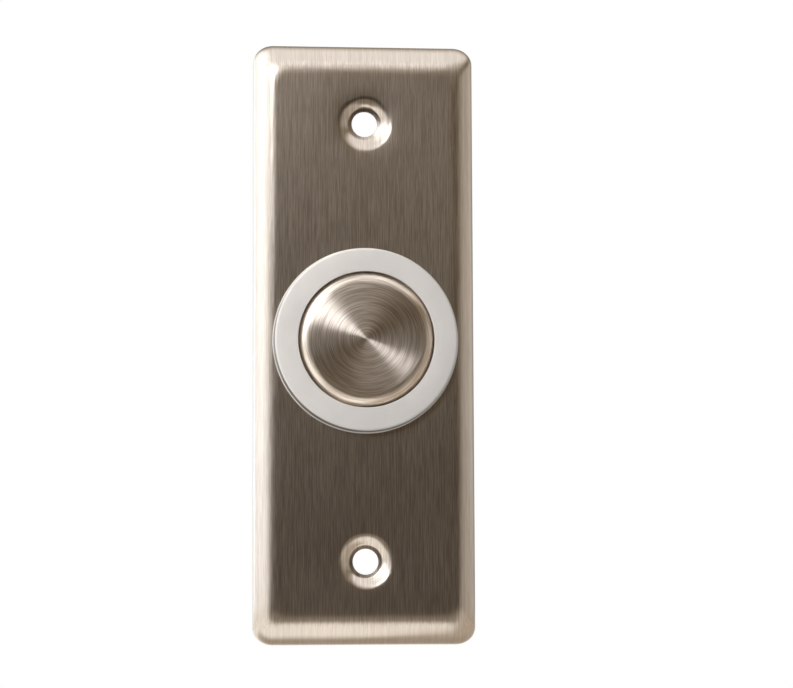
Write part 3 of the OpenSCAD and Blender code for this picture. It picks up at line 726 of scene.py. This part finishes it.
@dataclass
class Faceplate:
    """Pressed sheet with a turned-down rim, two dimpled screw holes and the bore for the button."""

    width: float = 42.5
    height: float = 115.5
    depth: float = 6.0
    sheet: float = 1.2
    side_reach: float = 4.5
    end_reach: float = 6.2
    drop: float = 4.7
    fullness: float = 2.3
    corner: float = 2.9
    flat_margin: float = 0.4
    bore_r: float = 15.2
    screw_pitch: float = 84.0
    hole_r: float = 2.45
    dimple_r: float = 5.6
    dimple_depth: float = 1.0
    dimple_reach: float = 8.4
    drawn_in: float = 0.04
    roll_r: float = 3.5
    land_r: float = 3.0
    land_lean: float = 6.0
    foot_bend: float = 1.0
    slope: float = 35.0
    dip_start: float = 8.0
    bend_steps: int = 18
    corner_steps: int = 10
    side_cuts: int = 36
    end_cuts: int = 12
    arc_steps: int = 8
    ring_steps: int = 96

    def build(self) -> bpy.types.Object:
        """Bends, pierces and thickens the sheet.

        Returns:
            The finished plate.
        """
        work = self._bend_rim()
        self._pierce(work)
        self._draw_dimples(work)
        work.close_up()
        work.modify("SOLIDIFY", thickness=self.sheet * MM, offset=-1.0, use_even_offset=True)
        return work.done(BRUSHED_PLATE)

    def _rim_loops(self) -> list[Loop]:
        """Gives the loops from the flat face over the bend to the foot of the rim.

        Returns:
            Half width, half height and place out of the wall of each loop.
        """
        wide, high = self.width / 2 - self.side_reach, self.height / 2 - self.end_reach
        loops = [(wide - self.flat_margin, high - self.flat_margin, self.depth)]
        for step in range(self.bend_steps + 1):
            angle = QUARTER_TURN * step / self.bend_steps
            share = math.sin(angle) ** (2 / self.fullness)
            down = 1 - math.cos(angle) ** (2 / self.fullness)
            loops.append((
                wide + share * self.side_reach, high + share * self.end_reach, self.depth - down * self.drop
            ))
        return [*loops, (self.width / 2, self.height / 2, 0.0)]

    def _bend_rim(self) -> Shaper:
        """Draws the outline of the flat face over the bend down to the wall.

        Returns:
            The rim, open where the flat face will be.
        """
        loops = self._rim_loops()
        wide, high, out = loops[0]
        bpy.ops.object.select_all(action="DESELECT")
        bpy.ops.mesh.primitive_plane_add(
            size=2 * MM, location=spot(0, 0, out), rotation=(QUARTER_TURN, 0, 0)
        )
        bpy.context.object.scale = (wide, high, 1.0)
        work = Shaper("plate_sheet")
        bpy.ops.mesh.select_all(action="SELECT")
        bpy.ops.mesh.bevel(offset=self.corner * MM, segments=self.corner_steps, affect="VERTICES")
        work.pick(Part.EDGE, lambda at, way: abs(way.z) > STRAIGHT)
        bpy.ops.mesh.subdivide(number_cuts=self.side_cuts)
        work.pick(Part.EDGE, lambda at, way: abs(way.x) > STRAIGHT)
        bpy.ops.mesh.subdivide(number_cuts=self.end_cuts)
        work.pick(Part.FACE, lambda at, way: True)
        bpy.ops.mesh.delete(type="ONLY_FACE")
        work.pick(Part.EDGE, lambda at, way: True)
        work.draw_loop(Vector(), loops)
        return work

    def _pierce(self, work: Shaper) -> None:
        """Fills the flat face round the bore and the dimples."""
        front = -self.depth * MM
        dimples = [(side * self.screw_pitch / 2, self.dimple_reach) for side in (-1, 1)]
        for up, radius in ((0.0, self.bore_r), *dimples):
            bpy.ops.mesh.primitive_circle_add(
                vertices=self.ring_steps, radius=radius * MM, location=spot(0, up, self.depth),
                rotation=(QUARTER_TURN, 0, 0),
            )
        work.pick(Part.EDGE, lambda at, way: abs(at.y - front) < TOUCHING, open_only=True)
        bpy.ops.mesh.fill(use_beauty=True)

    def _draw_dimples(self, work: Shaper) -> None:
        """Draws the sheet down round each screw hole."""
        shares = [step / self.arc_steps for step in range(self.arc_steps)]
        dip = [
            (
                self.dip_start + (self.dimple_r - self.dip_start) * share,
                self.depth - self.drawn_in * share ** 2,
            )
            for share in shares
        ]
        roll = arc(
            (self.dimple_r, self.depth - self.drawn_in - self.roll_r), self.roll_r,
            90, 90 + self.slope, self.arc_steps,
        )
        lean = math.radians(self.land_lean)
        hole_out = self.depth - self.dimple_depth
        land_out = hole_out + (self.land_r - self.hole_r) * math.tan(lean)
        foot = arc(
            (self.land_r - self.foot_bend * math.sin(lean), land_out + self.foot_bend * math.cos(lean)),
            self.foot_bend, 270 + self.slope, 270 + self.land_lean, self.arc_steps,
        )
        section = [(self.dimple_reach, self.depth), *dip, *roll, *foot, (self.hole_r, hole_out)]
        front = -self.depth * MM
        for side in (-1, 1):
            center = spot(0, side * self.screw_pitch / 2, self.depth)
            reach = self.dimple_reach * MM
            work.pick(
                Part.EDGE,
                lambda at, way: (
                    abs(at.y - front) < TOUCHING and abs((at - center).length - reach) < LOOP_SLACK
                ),
                open_only=True,
            )
            work.draw_loop(center, [(r, r, out) for r, out in section])

    def assemble(self) -> None:
        """Puts the plate on the base."""
        show(self.build(), "base", "faceplate")


@dataclass
class HaloRing:
    """Milky ring that stands on the plate, with the sleeve behind it."""

    radius: float = 17.4
    foot_r: float = 17.75
    bore_r: float = 12.98
    sleeve_r: float = 15.0
    base_out: float = 6.5
    face_out: float = 9.3
    sleeve_out: float = -4.7
    foot_h: float = 0.3
    foot_edge: float = 0.15
    edge_r: float = 0.45
    bore_edge_r: float = 0.12
    wall_share: float = 0.98
    wall_lean: float = 0.35
    edge_steps: int = 6
    bore_edge_steps: int = 5
    steps: int = 128

    def build(self) -> bpy.types.Object:
        """Turns the ring and gives its polished outer wall a dark finish that is painted shade.

        Returns:
            The finished ring.
        """
        edge, bore_edge = self.edge_r, self.bore_edge_r
        edge_at = (self.radius - edge, self.face_out - edge)
        bore_edge_at = (self.bore_r + bore_edge, self.face_out - bore_edge)
        foot_out = self.base_out + self.foot_h
        section = [
            (self.sleeve_r, self.sleeve_out), (self.sleeve_r, self.base_out),
            (self.foot_r, self.base_out), (self.foot_r, foot_out - self.foot_edge),
            (self.foot_r - self.foot_edge, foot_out),
            *arc(edge_at, edge, 0, 90, self.edge_steps),
            *arc(bore_edge_at, bore_edge, 90, 180, self.bore_edge_steps),
            (self.bore_r, self.sleeve_out),
        ]
        work = Shaper.lathe("ring_body", section, self.steps)
        piece = work.done(FROSTED_RING)
        # The outer wall faces take the dark finish: painted shade.
        piece.data.materials.append(RING_WALL_PAINTED_SHADE.material())
        wall = self.radius * MM * self.wall_share
        for face in piece.data.polygons:
            at = face.center
            upright = abs(face.normal.y) < self.wall_lean
            if upright and math.hypot(at.x, at.z) > wall and at.y < -foot_out * MM:
                face.material_index = 1
        return piece

    def assemble(self) -> None:
        """Puts the ring on the base."""
        show(self.build(), "base", "halo_ring")


@dataclass
class PushCap:
    """Turned cap with a rounded rim."""

    radius: float = 12.9
    face_out: float = 10.1
    crown: float = 0.1
    skirt_out: float = 4.9
    wall: float = 0.8
    edge_r: float = 2.2
    skirt_edge: float = 0.15
    face_steps: int = 12
    edge_steps: int = 12
    inner_steps: int = 6
    steps: int = 128

    def build(self) -> bpy.types.Object:
        """Turns the cap: crowned face, rounded rim and skirt.

        Returns:
            The finished cap.
        """
        r, edge, wall = self.radius, self.edge_r, self.wall
        flat_r = r - edge
        low = self.face_out - self.crown
        lean = math.degrees(2 * self.crown / flat_r)
        shares = [step / self.face_steps for step in range(self.face_steps)]
        section = [
            *((flat_r * share, self.face_out - self.crown * share ** 2) for share in shares),
            *arc((flat_r, low - edge), edge, 90 - lean, 0, self.edge_steps),
            (r, self.skirt_out + self.skirt_edge), (r - self.skirt_edge, self.skirt_out),
            (r - wall, self.skirt_out), (r - wall, low - edge),
            *arc((flat_r, low - edge), edge - wall, 0, 90, self.inner_steps),
            (0.0, low - wall),
        ]
        work = Shaper.lathe("cap_shell", section, self.steps, closed=False)
        return work.done(TURNED_CAP)

    def assemble(self) -> None:
        """Puts the cap on the button."""
        show(self.build(), "button", "button_cap")


@dataclass
class ReturnSpring:
    """Coil of round wire with one dead turn at each end."""

    coil_r: float = 6.6
    wire_r: float = 0.45
    low_out: float = -6.5
    high_out: float = 6.4
    turns: int = 6
    dead_pitch: float = 0.95
    turn_steps: int = 32
    wire_steps: int = 12
    stroke: float = 2.0

    def _rise(self, step: int) -> float:
        """Gives how far one step climbs out of the wall."""
        dead = self.turn_steps
        open_steps = (self.turns - 2) * self.turn_steps
        if dead <= step < dead + open_steps:
            return (self.high_out - self.low_out - 2 * self.dead_pitch) / open_steps
        return self.dead_pitch / self.turn_steps

    def build(self) -> bpy.types.Object:
        """Winds the wire step by step.

        Returns:
            The finished spring.
        """
        bpy.ops.object.select_all(action="DESELECT")
        bpy.ops.mesh.primitive_circle_add(
            vertices=self.wire_steps, radius=self.wire_r * MM, fill_type="NGON",
            location=spot(self.coil_r, 0, self.low_out),
        )
        work = Shaper("spring_coil")
        bpy.ops.mesh.select_all(action="SELECT")
        for step in range(self.turns * self.turn_steps):
            bpy.ops.mesh.extrude_region_move(
                TRANSFORM_OT_translate={"value": (0.0, -self._rise(step) * MM, 0.0)}
            )
            bpy.ops.transform.rotate(
                value=FULL_TURN / self.turn_steps, orient_axis="Y", center_override=CENTER
            )
        work.close_up()
        return work.done(SPRING_STEEL, smooth_deg=50.0)

    def assemble(self) -> None:
        """Puts the spring on the base."""
        piece = self.build()
        show(piece, "base", "return_spring")
        foot = self.low_out - self.wire_r
        tuple(spot(0, 0, foot))
        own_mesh(piece)


@dataclass
class SmallScrews:
    """Pair of pan head screws with cross recesses."""

    node: str
    places: tuple[Point, Point]
    length: float
    seat: float
    sideways: bool = False
    head_r: float = 2.0
    head_h: float = 1.3
    dome_r: float = 0.8
    shank_r: float = 1.1
    tip: float = 0.4
    cross_w: float = 0.55
    cross_l: float = 2.3
    cross_depth: float = 0.7
    dome_steps: int = 6
    steps: int = 40

    def build(self) -> bpy.types.Object:
        """Turns one screw about the Y axis, cuts its cross and sets both in place.

        Returns:
            The finished pair.
        """
        dome_at = (self.head_r - self.dome_r, self.dome_r - self.head_h)
        section = [
            (0.0, -self.head_h), *arc(dome_at, self.dome_r, 270, 360, self.dome_steps),
            (self.head_r, 0.0), (self.shank_r, 0.0), (self.shank_r, self.length - self.tip),
            (self.shank_r - self.tip, self.length), (0.0, self.length),
        ]
        work = Shaper.lathe(self.node + "_pair", section, self.steps, closed=False)
        for wide, high in ((self.cross_l, self.cross_w), (self.cross_w, self.cross_l)):
            bpy.ops.object.mode_set(mode="OBJECT")
            bottom = self.head_h - self.cross_depth
            low = Vector((-wide / 2, bottom, -high / 2)) * MM
            top = Vector((wide / 2, bottom + self.head_h, high / 2)) * MM
            work.cut(Shaper.block("cutter", low, top))
        work.close_up()
        self._set_in_place()
        return work.done(PLATED_STEEL)

    def _set_in_place(self) -> None:
        """Copies the screw in edit mode and moves both to their seats."""
        bpy.ops.mesh.select_all(action="SELECT")
        if self.sideways:
            bpy.ops.transform.rotate(value=QUARTER_TURN, orient_axis="Z", center_override=CENTER)
        first, second = (self._seat(place) for place in self.places)
        bpy.ops.transform.translate(value=first)
        bpy.ops.mesh.duplicate_move(TRANSFORM_OT_translate={"value": second - first})

    def _seat(self, place: Point) -> Vector:
        """Gives the middle of a head's underside."""
        if self.sideways:
            return spot(self.seat, place[1], place[0])
        return spot(place[0], place[1], self.seat)

    def assemble(self) -> None:
        """Puts the screws on the base."""
        show(self.build(), "base", self.node)


class FrameNodes:
    """Nodes of the frame that keep their shape."""

    def assemble(self) -> None:
        """Gives each of them its finish."""
        for name, finish in NODE_FINISHES.items():
            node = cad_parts[name]
            for slot in node.material_slots:
                slot.material = finish.material()
            log.info("%s takes %s", name, finish.name)


# Studio


@dataclass(frozen=True)
class Glow:
    """A bright part of the room that only gloss shows, limited to one side of the room."""

    toward: Color
    low: float
    high: float
    strength: float
    side: Color = FRONT
    side_low: float = -2.0
    side_high: float = -1.0

    def draw(self, graph: Graph, way: Socket) -> Socket:
        """Gives how bright the glow is along a way.

        Args:
            graph: Node tree of the world.
            way: Direction of the ray.

        Returns:
            The brightness, which rises with the way's reach toward the middle and toward the side.
        """
        near = graph.reach(way, self.toward).fade(self.low, self.high)
        return self.strength * near * graph.reach(way, self.side).fade(self.side_low, self.side_high)


GLOWS = (
    Glow(LEFT, 0.17, 0.76, 1.15),
    Glow(RIGHT, 0.28, 1.0, 0.47, DOWN, -0.6, -0.1),
    Glow((-0.3, 0.0, 0.95), 0.21, 0.54, 1.03, FRONT, -0.8, 0.1),
    Glow(BACK, 0.0, 0.5, 0.15),
    Glow((-0.35, 0.93, 0.0), 0.86, 0.97, 0.8),
    Glow((0.09, -0.86, 0.5), 0.975, 0.995, 0.15),
    Glow((-0.272, -0.913, 0.3), 0.986, 0.9935, 8.0, UP, 0.19, 0.26),
)


@dataclass
class Studio:
    """Pale floor, white surroundings, soft lamps and the camera."""

    floor_up: float = -100.0
    floor_size: float = 12.0
    room_low: Color = (0.045, 0.036, 0.029)
    room_high: Color = (0.156, 0.119, 0.073)
    floor_right: Color = (0.5, 0.45, 0.4)
    # Painted shadow colour of the floor under the object, seen only in gloss.
    floor_painted_shadow: Color = (0.4, 0.36, 0.31)
    floor_front: Color = (0.27, 0.23, 0.19)
    paper: Color = (0.93, 0.93, 0.93)
    glow_tint: Color = (0.945, 1.0, 1.1)
    right_side: Point = (0.2, 0.7)
    front_side: Point = (0.8, 0.94)
    front_start: Point = (0.09, 0.17)
    front_end: Point = (0.26, 0.9)
    under_side: Point = (-0.03, 0.004)
    under_end: Point = (0.03, 0.12)
    white_start: Point = (0.25, 0.9)
    near_strength: float = 1.2
    room_rise: Point = (-0.05, 0.3)
    tint_rise: Point = (0.4, 1.0)
    fill_light: float = 0.38
    lens_px: float = 2590.0
    distance: float = 500.0
    tilt_deg: Color = (-5.7, 5.3, 0.23)
    shift: Point = (-6.5, 0.03)

    def build(self) -> None:
        """Builds floor, world, lamps and camera."""
        bpy.context.scene.view_settings.view_transform = "Standard"
        self._floor()
        self._world()
        self._lamp("key", spot(-100, 70, 80), size=0.06, power=0.2)
        self._lamp("top", spot(-200, 1000, 200), size=0.8, power=5.0)
        self._camera()

    def _floor(self) -> None:
        """Lays the floor, white where it is far away and with its own colours for gloss; near the object
        gloss sees a painted glow with a painted shadow under the object.
        """
        bpy.ops.object.select_all(action="DESELECT")
        bpy.ops.mesh.primitive_plane_add(size=self.floor_size, location=spot(0, self.floor_up, 0))
        floor = bpy.context.object
        floor.name = "studio_floor"
        made = bpy.data.materials.new("studio_floor")
        made.use_nodes = True
        graph = Graph(made.node_tree)
        coords = graph.place()
        away = graph.length(coords)
        side, along = (part / away for part in graph.split(coords, "XY"))
        gloss = graph.ray("Glossy")
        front = gloss * (-1.0 * along).fade(*self.front_side)
        # Painted shadow: the zone under and just behind the object, dimmed for gloss rays.
        painted_shadow_zone = graph.reach(coords, BACK).fade(*self.under_side) * (1.0 - away.fade(*self.under_end))
        shade = graph.blend(gloss * side.fade(*self.right_side), WHITE, self.floor_right)
        ahead = graph.blend(away.fade(*self.front_end), self.floor_front, self.room_low)
        white = graph.add(
            "ShaderNodeEmission", sockets={"Color": graph.blend(front, shade, ahead), "Strength": 1.0}
        )
        # Painted light: for gloss rays the near floor glows instead of showing the lit paper, with the
        # painted shadow in it.
        near_gloss_glow = graph.add("ShaderNodeEmission", sockets={
            "Color": graph.blend(painted_shadow_zone, shade, self.floor_painted_shadow), "Strength": self.near_strength,
        })
        paper = graph.add("ShaderNodeBsdfDiffuse", sockets={"Color": self.paper})
        near = graph.add("ShaderNodeMixShader", sockets={0: gloss, 1: paper, 2: near_gloss_glow})
        seen = graph.ray("Camera").either(gloss).either(graph.ray("Transmission"))
        far = seen * (1.0 - front) * away.fade(*self.white_start) + front * away.fade(*self.front_start)
        mix = graph.add("ShaderNodeMixShader", sockets={0: far, 1: near, 2: white})
        graph.add("ShaderNodeOutputMaterial", sockets={"Surface": mix})
        floor.data.materials.append(made)

    def _world(self) -> None:
        """Surrounds the object with white, and with a dim room in front that only gloss shows."""
        world = bpy.data.worlds.new("studio")
        bpy.context.scene.world = world
        world.use_nodes = True
        graph = Graph(world.node_tree)
        way = graph.add("ShaderNodeTexCoord", out="Generated")
        up = graph.reach(way, UP)
        gloss = graph.ray("Glossy")
        shine: Term = 0.0
        for glow in GLOWS:
            shine = shine + glow.draw(graph, way)
        plain = self.fill_light + (1.0 - self.fill_light) * graph.ray("Camera")
        white = graph.add("ShaderNodeBackground", sockets={
            "Color": graph.blend(gloss * shine.fade(*self.tint_rise), WHITE, self.glow_tint),
            "Strength": gloss * shine + (1.0 - gloss) * plain,
        })
        room = graph.add("ShaderNodeBackground", sockets={
            "Color": graph.blend(up.fade(*self.room_rise), self.room_low, self.room_high), "Strength": gloss,
        })
        both = graph.add("ShaderNodeAddShader", sockets={0: white, 1: room})
        graph.add("ShaderNodeOutputWorld", sockets={"Surface": both})

    @staticmethod
    def _lamp(name: str, place: Vector, size: float, power: float) -> None:
        """Hangs a soft square lamp that points at the button.

        Args:
            name: Name of the lamp.
            place: Where it hangs.
            size: Side of the lamp in metres.
            power: Power in watts.
        """
        data = bpy.data.lights.new(name, "AREA")
        data.size = size
        data.energy = power
        lamp = bpy.data.objects.new(name, data)
        lamp.visible_glossy = False
        lamp.matrix_world = Matrix.LocRotScale(place, (-place).to_track_quat("-Z", "Y"), None)
        bpy.context.scene.collection.objects.link(lamp)

    def _camera(self) -> None:
        """Stands the camera where the photo was taken: below and left of the button's axis."""
        ax, ay, az = (math.radians(a) for a in self.tilt_deg)
        turn = Matrix.Rotation(az, 3, "Z") @ Matrix.Rotation(ax, 3, "X") @ Matrix.Rotation(ay, 3, "Y")
        to_frame = Matrix(((1, 0, 0), (0, 0, -1), (0, 1, 0)))
        back = to_frame @ turn.transposed()
        place = back @ Vector((-self.shift[0], -self.shift[1], self.distance)) * MM
        data = bpy.data.cameras.new("camera")
        data.sensor_width = 36.0
        data.lens = self.lens_px * data.sensor_width / IMAGE_W
        data.clip_start = 0.01
        data.clip_end = 50.0
        camera = bpy.data.objects.new("camera", data)
        camera.matrix_world = Matrix.Translation(place) @ back.to_4x4()
        bpy.context.scene.collection.objects.link(camera)
        bpy.context.scene.camera = camera


def main() -> None:
    """Builds every piece in order."""
    logging.basicConfig(level=logging.INFO, format="%(message)s")
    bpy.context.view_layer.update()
    Studio().build()
    for assembly in (
        FrameNodes(), Faceplate(), HaloRing(), PushCap(), ReturnSpring(),
        SmallScrews("cover_screws", places=((0.0, -14.049), (0.0, 14.049)), length=10.0, seat=-27.064),
        SmallScrews(
            "switch_screws", places=((-22.912, -2.624), (-22.912, 5.124)), length=10.5, seat=5.25,
            sideways=True,
        ),
    ):
        assembly.assemble()


if __name__ == "__main__":
    main()
